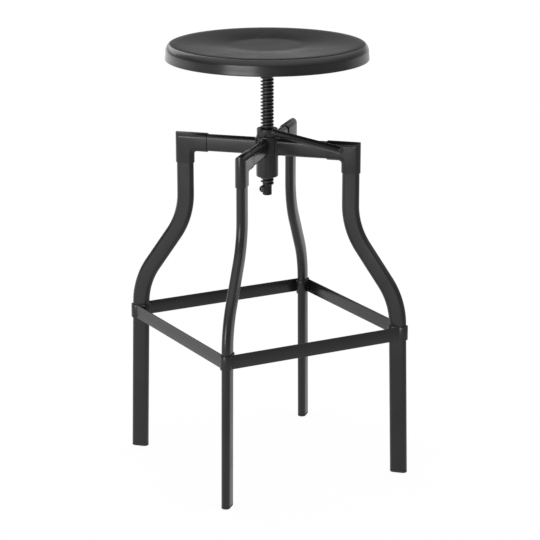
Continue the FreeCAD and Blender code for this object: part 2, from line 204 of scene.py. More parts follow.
@dataclass(frozen=True)
class PowderCoat(Finish):
    """Satin black polyester powder, sprayed dry and baked on steel.

    The eye gets a near-black skin with a broad soft gloss, a faint orange peel in the highlights,
    slightly cloudy sheen, and bends and edges painted a little lighter, which on the lever is a
    painted highlight round its tip.
    """

    deep: str = "#111112"
    thin: str = "#161617"
    # colour painted on bends and edges; on the lever it is a painted highlight
    edge: str = "#1a1a1b"
    edge_span: Pair = (0.52, 0.62)  # pointiness where the edge colour begins and is full
    cloud_mm: float = 55.0
    cloud_span: Pair = (0.35, 0.65)
    peel_mm: float = 2.4  # real peel is about 1 mm, drawn coarser so that it shows
    grit_mm: float = 0.9  # real grit is about 0.2 mm, drawn coarser so that it shows
    grit_share: float = 0.15  # depth of the grit against the peel
    peel_depth_mm: float = 0.016
    smooth: float = 0.22
    dull: float = 0.30

    def skin_shader(self, add: AddNode) -> bpy.types.Node:
        """Wire the cloudy film, its lighter painted edges and the peel.

        Args:
            add: Adds a node to the material.

        Returns:
            The surface's shader.
        """
        place = add("TexCoord").outputs["Object"]
        cloud = add("TexNoise", {"Vector": place, "Scale": per_metre(self.cloud_mm), "Detail": 3.0})
        peel = add("TexNoise", {"Vector": place, "Scale": per_metre(self.peel_mm), "Detail": 1.0})
        grit = add("TexNoise", {"Vector": place, "Scale": per_metre(self.grit_mm), "Detail": 2.0})
        thinned = add("MapRange", [cloud, *self.cloud_span])
        film = add("Mix", {0: thinned, 6: linear(self.deep), 7: linear(self.thin)}, data_type="RGBA")
        # Bends and edges painted lighter by pointiness; on the lever this is a painted highlight, a glint on
        # the tip's round
        lighter_share = add("MapRange", [add("NewGeometry").outputs["Pointiness"], *self.edge_span])
        colour = add("Mix", {0: lighter_share, 6: film.outputs[2], 7: linear(self.edge)}, data_type="RGBA")
        gloss = add("MapRange", [cloud, *NOISE_SPAN, self.smooth, self.dull])
        relief = add("Math", [grit, self.grit_share, peel], operation="MULTIPLY_ADD")
        bump = add("Bump", {"Height": relief, "Strength": 0.5, "Distance": self.peel_depth_mm * MM})
        return add("BsdfPrincipled", {
            "Base Color": colour.outputs[2], "Roughness": gloss, "Normal": bump, "IOR": 1.5})


@dataclass(frozen=True)
class BlackedSteel(Finish):
    """Turned steel, blacked hot in salts and oiled.

    The eye gets a dark grey metal with small sharp highlights, faint chatter marks from the lathe,
    and crests rubbed to bare grey where the nut runs on them.
    """

    skin: str = "#2e2e2e"
    rubbed: str = "#686869"
    rub_radius_mm: float = 1e4  # metal further than this from the screw's axis is rubbed
    rub_edge_mm: float = 0.5  # over which the rubbing fades in
    chatter_mm: float = 5.03
    chatter_depth_mm: float = 0.02
    blotch_mm: float = 9.0
    smooth: float = 0.24
    dull: float = 0.36
    metallic: float = 0.85  # the black oxide hides some of the metal

    def skin_shader(self, add: AddNode) -> bpy.types.Node:
        """Wire the blotchy oxide, the rubbed crests and the chatter marks.

        Args:
            add: Adds a node to the material.

        Returns:
            The surface's shader.
        """
        place = add("TexCoord").outputs["Object"]
        blotch = add("TexNoise", {"Vector": place, "Scale": per_metre(self.blotch_mm), "Detail": 4.0})
        chatter = add("TexWave", {
            "Vector": place, "Scale": WAVE_LENGTH * per_metre(self.chatter_mm), "Distortion": 1.5,
            "Detail": 2.0}, bands_direction="Z").outputs["Fac"]
        flat = add("VectorMath", [place, LEVEL], operation="MULTIPLY")
        radius = add("VectorMath", [flat], operation="LENGTH").outputs["Value"]
        rub = self.rub_radius_mm
        crest = add("MapRange", [radius, (rub - self.rub_edge_mm) * MM, rub * MM])
        lighter_share = add("Math", [crest, blotch], operation="MULTIPLY")
        colour = add("Mix", {0: lighter_share, 6: linear(self.skin), 7: linear(self.rubbed)}, data_type="RGBA")
        gloss = add("MapRange", [blotch, *NOISE_SPAN, self.smooth, self.dull])
        bump = add("Bump", {"Height": chatter, "Strength": 0.25, "Distance": self.chatter_depth_mm * MM})
        return add("BsdfPrincipled", {
            "Base Color": colour.outputs[2], "Roughness": gloss, "Normal": bump, "Metallic": self.metallic})


@dataclass(frozen=True)
class MouldedPlastic(Finish):
    """Black polyethylene or nylon, moulded in a spark-eroded tool.

    The eye gets a dull soft black with a fine even grain and a paler scuffed skin.
    """

    body: str = "#18181a"
    scuff: str = "#2c2c2e"
    scuff_mm: float = 6.0
    scuff_span: Pair = (0.5, 0.7)
    grain_mm: float = 1.2  # real spark grain is about 0.3 mm, drawn coarser so that it shows
    grain_depth_mm: float = 0.06
    smooth: float = 0.52
    dull: float = 0.68

    def skin_shader(self, add: AddNode) -> bpy.types.Node:
        """Wire the scuffs and the grain.

        Args:
            add: Adds a node to the material.

        Returns:
            The surface's shader.
        """
        place = add("TexCoord").outputs["Object"]
        grain = add("TexVoronoi", {"Vector": place, "Scale": per_metre(self.grain_mm)}).outputs["Distance"]
        scuff = add("TexNoise", {"Vector": place, "Scale": per_metre(self.scuff_mm), "Detail": 5.0})
        lighter_share = add("MapRange", [scuff, *self.scuff_span])
        colour = add("Mix", {0: lighter_share, 6: linear(self.body), 7: linear(self.scuff)}, data_type="RGBA")
        gloss = add("MapRange", [scuff, *NOISE_SPAN, self.smooth, self.dull])
        bump = add("Bump", {"Height": grain, "Strength": 0.5, "Distance": self.grain_depth_mm * MM})
        return add("BsdfPrincipled", {
            "Base Color": colour.outputs[2], "Roughness": gloss, "Normal": bump, "IOR": 1.5})


def ends(edges: Iterable[BMEdge]) -> list[BMVert]:
    """The points of some edges, each once."""
    return list(dict.fromkeys(vert for edge in edges for vert in edge.verts))


def only_edges(geometry: Iterable[Any]) -> EdgeList:
    """The edges among what an operator gives back."""
    return [part for part in geometry if isinstance(part, BMEdge)]


def onto_level(height: float) -> Matrix:
    """Matrix that takes every point straight up or down to one height."""
    return Matrix(((1, 0, 0, 0), (0, 1, 0, 0), (0, 0, 0, height), (0, 0, 0, 1)))


class Blank:
    """A mesh on the bench, worked in millimetres until it is finished."""

    def __init__(self) -> None:
        """Start with nothing on the bench."""
        self.bm = bmesh.new()

    def wire(self, points: Sequence[Pair], closed: bool) -> EdgeList:
        """Lay a profile in the XZ plane.

        Args:
            points: Radius and height of each corner.
            closed: Whether the last corner joins the first.

        Returns:
            The profile's edges.
        """
        verts = [self.bm.verts.new((radius, 0, height)) for radius, height in points]
        pairs = list(zip(verts, verts[1:]))
        if closed:
            pairs.append((verts[-1], verts[0]))
        return [self.bm.edges.new(pair) for pair in pairs]

    def loop(self, depth: float, width: float, corner: float, points: int = 48) -> EdgeList:
        """Lay a closed loop with rounded corners round the origin.

        Args:
            depth: Size along X.
            width: Size along Y.
            corner: Radius of the corners.
            points: Points in the loop, a multiple of four.

        Returns:
            The loop's edges.
        """
        half_step = math.pi / points
        verts = bmesh.ops.create_circle(
            self.bm, cap_ends=False, radius=corner / math.cos(half_step), segments=points,
            matrix=Matrix.Rotation(half_step, 4, "Z"))["verts"]
        reach = Vector((depth / 2 - corner, width / 2 - corner, 0))
        for vert in verts:
            vert.co += Vector((math.copysign(reach.x, vert.co.x), math.copysign(reach.y, vert.co.y), 0))
        return list(dict.fromkeys(edge for vert in verts for edge in vert.link_edges))

    def stand(self, loop: Edges, point: Vector, heading: Vector, across: Vector) -> None:
        """Move a loop from the origin to a point, its Z along a heading and its Y across."""
        turn = Matrix((across.cross(heading), across, heading)).transposed().to_4x4()
        self.shift(loop, Matrix.Translation(point) @ turn)

    def shift(self, edges: Edges, matrix: Matrix) -> None:
        """Move the ends of some edges by a matrix."""
        bmesh.ops.transform(self.bm, matrix=matrix, verts=ends(edges))

    def push(self, loop: Edges, matrix: Matrix) -> EdgeList:
        """Draw a loop out into a wall.

        Args:
            loop: Edges to draw out.
            matrix: How the new edge moves.

        Returns:
            Edges of the wall's new end.
        """
        grown = bmesh.ops.extrude_edge_only(self.bm, edges=list(loop))["geom"]
        verts = dict.fromkeys(part for part in grown if isinstance(part, BMVert))
        near = dict.fromkeys(edge for vert in verts for edge in vert.link_edges)
        end = [edge for edge in near if edge.verts[0] in verts and edge.verts[1] in verts]
        self.shift(end, matrix)
        return end

    def spin(self, loop: Edges, angle: float, steps: int, **how: Any) -> EdgeList:
        """Spin edges, about Z unless told otherwise, and give the edges at the end of the way."""
        settings = {"geom": [*ends(loop), *loop], "axis": UP, "angle": angle, "steps": steps, **how}
        return only_edges(bmesh.ops.spin(self.bm, **settings)["geom_last"])

    def sweep(self, loop: Edges, corners: Sequence[Vector], radii: Sequence[float],
              across: Vector, step_deg: float) -> EdgeList:
        """Carry a loop along straight runs and round bends.

        Args:
            loop: Edges of a flat loop round the origin.
            corners: Corners of the centreline, all in one plane.
            radii: Bend radius at each inner corner.
            across: Direction square to that plane.
            step_deg: Degrees of bend for each ring.

        Returns:
            Edges of the loop at the far end.
        """
        start = corners[0]
        self.stand(loop, start, (corners[1] - start).normalized(), across)
        for before, corner, after, radius in zip(corners, corners[1:], corners[2:], radii):
            heading = (corner - before).normalized()
            leaving = (after - corner).normalized()
            turn = math.atan2(across.dot(heading.cross(leaving)), heading.dot(leaving))
            axis = across * math.copysign(1, turn)
            trim = radius * math.tan(abs(turn) / 2)
            bend_start = corner - heading * trim
            if (bend_start - start).length > TOUCH:
                loop = self.push(loop, Matrix.Translation(bend_start - start))
            loop = self.spin(loop, abs(turn), max(2, round(math.degrees(abs(turn)) / step_deg)),
                             cent=bend_start + axis.cross(heading) * radius, axis=axis)
            start = corner + leaving * trim
        if (corners[-1] - start).length > TOUCH:
            loop = self.push(loop, Matrix.Translation(corners[-1] - start))
        return loop

    def turn_on_lathe(self, profile: Sequence[Pair], closed: bool, steps: int) -> None:
        """Spin a profile of radii and heights all the way round the Z axis."""
        self.spin(self.wire(profile, closed), 2 * math.pi, steps, use_merge=True)
        bmesh.ops.remove_doubles(self.bm, verts=self.bm.verts, dist=TOUCH)

    def sleeve(self, bore: float, radius: float, foot: float, top: float, steps: int = 96) -> None:
        """Turn a plain sleeve or ring between two heights."""
        self.turn_on_lathe([(bore, foot), (radius, foot), (radius, top), (bore, top)], True, steps)

    def ring(self, radius: float, height: float) -> EdgeList:
        """Edges of the circle at a radius and height round the Z axis."""
        on_it = {vert for vert in self.bm.verts
                 if abs(vert.co.xy.length - radius) < ON_RING and abs(vert.co.z - height) < ON_RING}
        return [edge for edge in self.bm.edges if on_it.issuperset(edge.verts)]

    def ease(self, edges: Edges, width: float, segments: int = 3) -> None:
        """Round some edges, this far to either side and in this many facets."""
        bmesh.ops.bevel(self.bm, geom=list(dict.fromkeys(edges)), offset=width, offset_type="OFFSET",
                        segments=segments, profile=0.5, affect="EDGES", material=-1)

    def cap(self, *loops: Edges) -> None:
        """Close each loop with one face."""
        for loop in loops:
            bmesh.ops.contextual_create(self.bm, geom=list(loop))

    def cut(self, point: Triple, facing: Triple) -> EdgeList:
        """Take away all that lies past a plane and give the edges of the cut."""
        done = bmesh.ops.bisect_plane(self.bm, geom=[*self.bm.verts, *self.bm.edges, *self.bm.faces],
                                      plane_co=point, plane_no=facing, clear_outer=True)
        return only_edges(done["geom_cut"])

    def move(self, matrix: Matrix) -> "Blank":
        """Move the whole mesh by a matrix and give it back."""
        bmesh.ops.transform(self.bm, matrix=matrix, verts=self.bm.verts)
        return self

    def turn(self, degrees: float, axis: str = "Z") -> "Blank":
        """Turn the whole mesh about an axis through the origin and give it back."""
        return self.move(Matrix.Rotation(math.radians(degrees), 4, axis))

    def finish(self, name: str, slot: Slot, finish: Finish, *nodes: str, crease_deg: float = 35.0) -> None:
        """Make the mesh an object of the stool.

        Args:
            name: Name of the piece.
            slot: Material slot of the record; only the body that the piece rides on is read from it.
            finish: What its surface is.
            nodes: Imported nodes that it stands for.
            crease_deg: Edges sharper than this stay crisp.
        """
        bmesh.ops.recalc_face_normals(self.bm, faces=self.bm.faces)
        bmesh.ops.scale(self.bm, vec=(MM, MM, MM), verts=self.bm.verts)
        mesh = bpy.data.meshes.new(name)
        self.bm.to_mesh(mesh)
        self.bm.free()
        mesh.shade_smooth()
        mesh.set_sharp_from_angle(angle=math.radians(crease_deg))
        mesh.materials.append(finish.material())
        piece = bpy.data.objects.new(name, mesh)
        bpy.context.scene.collection.objects.link(piece)
        slot_name, body = slot.value
        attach(piece, body.value)
        if nodes:
            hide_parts(*nodes)
        LOG.info("%s rides on %s with %d faces", name, body.value, len(mesh.polygons))

    def finish_at(self, spot: Spot, name: str, finish: Finish, *nodes: str,
                  slot: Slot = Slot.FRAME_COAT) -> None:
        """Turn a piece of the frame to its place, which completes the names, and finish it."""
        self.turn(spot.value).finish(name + spot.label, slot, finish, *(node + spot.label for node in nodes))


@dataclass(frozen=True)
class FilletWeld:
    """Weld round a flat-oval or round tube along X, where it meets a drum on the Z axis."""

    depth: float  # height of the tube
    width: float
    drum: float  # radius of the drum
    size: float  # leg length of the fillet
    ripples: int = 26
    ripple: float = 0.12  # how far a ripple stands out

    def lay(self) -> Blank:
        """Lay the weld with the tube's middle at height zero.

        Returns:
            The weld's mesh.
        """
        blank = Blank()
        size = self.size
        section = ((size, -0.5), (0.8 * size, 0.35), (0.35 * size, 0.5 * size), (0.1, size), (-0.4, size))
        loops = []
        for grow, along in section:
            loop = blank.loop(self.depth + 2 * grow, self.width + 2 * grow, self.width / 2 + grow, 96)
            blank.stand(loop, Vector((0, 0, 0)), OUT, SIDE)
            for vert in ends(loop):
                angle = math.atan2(vert.co.z, vert.co.y)
                wave = self.ripple * math.sin(self.ripples * angle) if 0 < along < size else 0.0
                vert.co.x = math.sqrt(max(self.drum ** 2 - vert.co.y ** 2, 0)) + along + wave
            loops.append(loop)
        for near, far in zip(loops, loops[1:] + loops[:1]):
            bmesh.ops.bridge_loops(blank.bm, edges=near + far)
        return blank


@dataclass
class Seat:
    """Pressed dish with the plate and washer under it."""

    finish: Finish
    washer_finish: Finish
    top: float = 746.5  # crest of the rim
    radius: float = 173.2
    gauge: float = 1.5
    skirt: float = 26.5
    flare: float = 1.2
    flare_low: Pair = (0.46, 5.5)  # share of the flare reached at this height over the edge
    flare_round: float = 2.5
    crest_roll: float = 5.0
    shoulder: float = 15.0
    shoulder_deg: float = 48.0  # where the crest's roll runs into the shoulder's
    step: float = 0.25  # the skirt stands out this far just below the waist
    step_height: float = 3.0
    step_round: float = 1.2
    edge_round: float = 0.6
    panel_radius: float = 63.0
    panel_drop: float = 3.5
    crease: float = 5.0  # reach of the soft crease round the panel
    bow: float = 0.4  # share by which the dish is steeper at the panel and flatter at the crest
    bow_steps: int = 8
    brow: float = 9.0  # gentle fall of the dish just inside the crest's roll
    brow_drop: float = 0.5
    plate_radius: float = 58.0
    plate_thickness: float = 4.0
    plate_bore: float = 8.1
    plate_round: float = 1.0
    plate_bore_round: float = 0.3
    tack_radius: float = 1.9
    tack_drop: float = 1.2  # middle of a tack weld below the plate's top
    tack_starts_deg: tuple[float, ...] = (20.0, 110.0, 200.0, 290.0)
    tack_deg: float = 24.0
    washer_radius: float = 20.0
    washer_thickness: float = 3.0
    washer_bore: float = 8.08
    washer_gap: float = 0.3
    washer_round: float = 0.6
    facets: int = 192

    @property
    def plate_top(self) -> float:
        """Height of the plate's upper face."""
        return self.top - self.panel_drop - self.gauge

    @property
    def meeting(self) -> float:
        """Where the crest's roll runs into the shoulder's, in radians above level."""
        return math.radians(self.shoulder_deg)

    @property
    def cone(self) -> float:
        """Slope of the dish from the panel's edge up to the crest's roll, in radians."""
        run = (self.radius - self.flare - self.shoulder
               + (self.shoulder - self.crest_roll) * math.cos(self.meeting) - self.panel_radius)
        rise = self.panel_drop - self.crest_roll
        return math.atan2(rise, run) + math.asin(self.crest_roll / math.hypot(run, rise))

    def offsets(self, inset: float) -> Pair:
        """How far the rolls at the crest and at the shoulder reach from their corners."""
        turn = math.pi / 2 - self.meeting + self.cone
        return ((self.crest_roll - inset) * math.tan(turn / 2),
                (self.shoulder - inset) * math.tan(self.meeting / 2))

    def rim(self, inset: float) -> list[Pair]:
        """Corners of the rim before they are rolled.

        Args:
            inset: Distance inside the outer face.

        Returns:
            Radius and height of the brow, the crest's corner, the shoulder's corner and the waist.
        """
        waist = self.radius - self.flare - inset
        waist_height = self.top - self.crest_roll - (self.shoulder - self.crest_roll) * math.sin(self.meeting)
        crest, shoulder = self.offsets(inset)
        corner = (waist, waist_height + shoulder)
        ridge = corner[0] - (crest + shoulder) * math.sin(self.meeting)
        height = corner[1] + (crest + shoulder) * math.cos(self.meeting)
        return [(ridge - self.brow, height), (ridge, height - self.brow_drop), corner, (waist, waist_height)]

    def bowed(self, low: Pair, high: Pair) -> list[Pair]:
        """Points of the dish between the panel's edge and the brow, going out."""
        shares = [count / self.bow_steps for count in range(1, self.bow_steps)]
        return [(low[0] + (high[0] - low[0]) * share,
                 low[1] + (high[1] - low[1]) * share * (1 + self.bow * (1 - share))) for share in shares]

    def shell(self) -> None:
        """Spin the dish, roll its rim and soften its edges."""
        panel = self.top - self.panel_drop
        edge = self.top - self.skirt
        gauge = self.gauge
        outer = self.rim(0.0)
        inner = self.rim(gauge)
        waist, waist_height = outer[3]
        belly = (waist + self.step, waist_height - self.step_height)
        low = (waist + self.flare_low[0] * self.flare, edge + self.flare_low[1])
        fold = (self.panel_radius, panel)
        inner_fold = (self.panel_radius + gauge * math.tan(self.cone / 2), panel - gauge)
        blank = Blank()
        blank.turn_on_lathe([
            (0, panel), fold, *self.bowed(fold, outer[0]), *outer, belly, low, (self.radius, edge),
            (self.radius - gauge, edge), (low[0] - gauge, low[1]), *reversed(inner),
            *reversed(self.bowed(inner_fold, inner[0])), inner_fold, (0, panel - gauge),
        ], False, self.facets)
        for rim, inset in ((outer, 0.0), (inner, gauge)):
            crest, shoulder = self.offsets(inset)
            blank.ease(blank.ring(*rim[2]), shoulder, 12)
            blank.ease(blank.ring(*rim[1]), crest, 8)
            blank.ease(blank.ring(*rim[0]), self.brow / 2, 5)
        blank.ease(blank.ring(*fold), self.crease, 4)
        blank.ease(blank.ring(*inner_fold), self.crease, 4)
        blank.ease(blank.ring(*belly), self.step_round)
        blank.ease(blank.ring(*low), self.flare_round, 4)
        blank.ease(blank.ring(self.radius, edge) + blank.ring(self.radius - gauge, edge), self.edge_round)
        bmesh.ops.remove_doubles(blank.bm, verts=blank.bm.verts, dist=TOUCH)
        blank.finish("seat_dish", Slot.SEAT_COAT, self.finish, "seat_pan")

    def plate(self) -> None:
        """Spin the plate and tack it to the dish with short welds."""
        foot = self.plate_top - self.plate_thickness
        blank = Blank()
        blank.sleeve(self.plate_bore, self.plate_radius, foot, self.plate_top)
        blank.ease(blank.ring(self.plate_radius, foot), self.plate_round)
        blank.ease(blank.ring(self.plate_bore, foot), self.plate_bore_round, 2)
        blank.finish("seat_plate_disc", Slot.SEAT_COAT, self.finish, "seat_plate")
        tacks = Blank()
        for start_deg in self.tack_starts_deg:
            bead = tacks.loop(2 * self.tack_radius, 2 * self.tack_radius, self.tack_radius, 12)
            tacks.stand(bead, Vector((self.plate_radius, 0, self.plate_top - self.tack_drop)), SIDE, UP)
            tacks.shift(bead, Matrix.Rotation(math.radians(start_deg), 4, "Z"))
            tacks.cap(bead, tacks.spin(bead, math.radians(self.tack_deg), 16))
        tacks.finish("seat_plate_welds", Slot.SEAT_COAT, self.finish)

    def washer(self) -> None:
        """Spin the loose washer under the plate."""
        top = self.plate_top - self.plate_thickness - self.washer_gap
        foot = top - self.washer_thickness
        blank = Blank()
        blank.sleeve(self.washer_bore, self.washer_radius, foot, top, 64)
        rims = blank.ring(self.washer_radius, foot) + blank.ring(self.washer_radius, top)
        blank.ease(rims, self.washer_round)
        blank.finish("neck_washer", Slot.WASHER, self.washer_finish, "bump_washer")

    def build(self) -> None:
        """Make the dish, its plate and the washer."""
        self.shell()
        self.plate()
        self.washer()


@dataclass
class LiftScrew:
    """Coarse screw with a plain neck and tail, and the stop bolt through its tail."""

    finish: Finish
    bolt_finish: Finish
    end: float = 483.0
    top: float = 741.5
    tail_round: float = 1.5
    thread_low: float = 500.0
    thread_high: float = 725.5
    pitch: float = 6.0
    crest_radius: float = 11.5
    root_radius: float = 8.0
    crest_width: float = 2.0
    crest_round: float = 0.35
    flank_deg: float = 15.0
    sink: float = 1.0  # how deep the thread's ridge is let into the core
    facets: int = 48
    bolt_height: float = 494.0
    bolt_flat: float = 7.2
    flat_half: float = 6.8
    flat_lap: float = 0.5  # the length with the flat reaches this far into its neighbours
    flat_inset: float = 0.03  # and is this much thinner, so that no two faces lie on each other
    # Radius and height of the crown, the dome's middle, the rim, the seat and the sunk shank
    head: tuple[Pair, ...] = ((4.2, 6.0), (5.75, 4.3), (6.2, 2.0), (6.2, 0.0), (3.0, 0.0), (3.0, -4.0))
    head_seat: int = 3  # place of the seat's edge among them
    head_round: float = 0.3
    socket_flats: float = 5.0
    socket_depth: float = 3.0

    def core(self, blank: Blank, low: float, high: float, inset: float = 0.0) -> None:
        """Add one plain length of the bar.

        Args:
            blank: Mesh that takes it.
            low: Height of its lower end.
            high: Height of its upper end.
            inset: How much thinner it is than the bar.
        """
        radius = self.root_radius - inset
        made = bmesh.ops.create_cone(
            blank.bm, cap_ends=True, segments=self.facets, radius1=radius, radius2=radius,
            depth=high - low, matrix=Matrix.Translation((0, 0, (low + high) / 2)))["verts"]
        if low == self.end:
            rim = [e for v in made for e in v.link_edges if all(w.co.z < low + TOUCH for w in e.verts)]
            blank.ease(rim, self.tail_round, 2)

    def thread(self, blank: Blank) -> None:
        """Wind the thread's ridge round the core, right-handed.

        Args:
            blank: Mesh that takes it.
        """
        slope = math.tan(math.radians(self.flank_deg))
        foot = self.root_radius - self.sink
        crest = self.crest_width / 2
        base = crest + (self.crest_radius - foot) * slope
        ease = self.crest_round
        low = self.thread_low + base
        ridge = blank.wire([
            (foot, low - base), (self.crest_radius - ease, low - crest - ease * slope),
            (self.crest_radius, low - crest + ease), (self.crest_radius, low + crest - ease),
            (self.crest_radius - ease, low + crest + ease * slope), (foot, low + base),
        ], True)
        blank.shift(ridge, Matrix.Rotation(2 * math.pi * low / self.pitch, 4, "Z"))
        turns = (self.thread_high - base - low) / self.pitch
        steps = round(turns * self.facets)
        rise = UP * (turns * self.pitch / steps)
        blank.cap(ridge, blank.spin(ridge, 2 * math.pi * turns, steps, dvec=rise))

    def bar(self) -> None:
        """Make the screw, with the flat that the bolt's head sits on."""
        blank = Blank()
        flat_low = self.bolt_height - self.flat_half
        flat_high = self.bolt_height + self.flat_half
        self.core(blank, flat_low - self.flat_lap, flat_high + self.flat_lap, self.flat_inset)
        blank.cap(blank.cut((-self.bolt_flat, 0, 0), (-1, 0, 0)))
        self.core(blank, self.end, flat_low)
        self.core(blank, flat_high, self.top)
        self.thread(blank)
        blank.finish("screw_bar", Slot.SCREW, self.finish, "lift_screw", crease_deg=30.0)

    def bolt(self) -> None:
        """Make the bolt's domed head, drawn out from the rim of its six-sided socket."""
        blank = Blank()
        across_corners = self.socket_flats / math.cos(math.pi / 6) / 2
        bmesh.ops.create_circle(blank.bm, cap_ends=False, radius=across_corners, segments=6,
                                matrix=Matrix.Translation((0, 0, self.head[0][1])))
        bmesh.ops.subdivide_edges(blank.bm, edges=blank.bm.edges, cuts=3)
        loop = list(blank.bm.edges)
        blank.cap(blank.push(loop, Matrix.Translation((0, 0, -self.socket_depth))))
        for radius, height in self.head:
            loop = blank.push(loop, Matrix.Identity(4))
            for vert in ends(loop):
                vert.co = (vert.co.xy.normalized() * radius).to_3d() + UP * height
        blank.cap(loop)
        blank.ease(blank.ring(*self.head[self.head_seat]), self.head_round, 2)
        blank.turn(-90, "Y").move(Matrix.Translation((-self.bolt_flat, 0, self.bolt_height)))
        blank.finish("stop_bolt_domed", Slot.BOLT, self.bolt_finish, "stop_bolt")

    def build(self) -> None:
        """Make the screw and its bolt."""
        self.bar()
        self.bolt()


@dataclass
class Lock:
    """Threaded collar on the hub with its drooping lever."""

    finish: Finish
    lever_finish: Finish
    foot: float = 586.8
    height: float = 13.0
    radius: float = 18.0
    top_round: float = 1.4
    foot_round: float = 0.4
    bore: float = 11.8
    bore_round: float = 0.8
    lever_radius: float = 6.25
    lever_root: float = 15.0  # inner end, inside the collar's wall
    lever_reach: float = 163.0
    lever_rings: Pair = (24.0, 158.2)  # rings that keep the painted highlight colour of the ends off the lever's length
    lever_azimuth_deg: float = -68.7
    droop_deg: float = 3.9
    tip_round: float = 1.6
    dimple_radius: float = 1.6
    dimple_depth: float = 1.5
    dimple_round: float = 0.25
    hub_radius: float = 19.0
    clear: float = 0.3  # lever above the hub's top
    weld: float = 1.8
    weld_trim: float = 0.05  # the weld stays this far inside the collar's faces

    def collar(self) -> None:
        """Spin the collar and round its edges."""
        top = self.foot + self.height
        blank = Blank()
        blank.sleeve(self.bore, self.radius, self.foot, top)
        blank.ease(blank.ring(self.radius, top), self.top_round, 6)
        blank.ease(blank.ring(self.radius, self.foot), self.foot_round, 2)
        blank.ease(blank.ring(self.bore, top), self.bore_round, 2)
        blank.finish("lock_collar", Slot.LOCK_COAT, self.finish, "lock_nut")

    def axis(self) -> Matrix:
        """Give the place of the lever.

        Returns:
            Matrix for a lever that lies along X with its axis through the origin.
        """
        droop = math.radians(self.droop_deg)
        root = self.foot + self.lever_radius / math.cos(droop)
        height = root + (self.hub_radius + self.clear) * math.tan(droop)
        return (Matrix.Rotation(math.radians(self.lever_azimuth_deg), 4, "Z")
                @ Matrix.Translation((0, 0, height)) @ Matrix.Rotation(droop, 4, "Y"))

    def lever(self) -> None:
        """Make the lever with its centre mark, and the weld at its root."""
        radius = self.lever_radius
        blank = Blank()
        blank.turn_on_lathe([
            (0, self.lever_root), (radius, self.lever_root), *((radius, along) for along in self.lever_rings),
            (radius, self.lever_reach), (self.dimple_radius, self.lever_reach),
            (0, self.lever_reach - self.dimple_depth)], False, 48)
        blank.ease(blank.ring(radius, self.lever_reach), self.tip_round, 5)
        blank.ease(blank.ring(self.dimple_radius, self.lever_reach), self.dimple_round, 2)
        blank.turn(90, "Y").move(self.axis())
        blank.finish("lever_bar", Slot.LOCK_COAT, self.lever_finish, "lock_lever")
        weld = FilletWeld(2 * radius, 2 * radius, self.radius, self.weld).lay().move(self.axis())
        # Dressed flush with the collar's faces, so that hub and washer stay clear
        low = self.foot + self.weld_trim
        for level, facing in ((low, -1), (low + self.height - 2 * self.weld_trim, 1)):
            weld.cut((0, 0, level), (0, 0, facing))
            bmesh.ops.holes_fill(weld.bm, edges=weld.bm.edges, sides=0)
        weld.finish("lever_weld", Slot.LOCK_COAT, self.finish)

    def build(self) -> None:
        """Make the collar and its lever."""
        self.collar()
        self.lever()


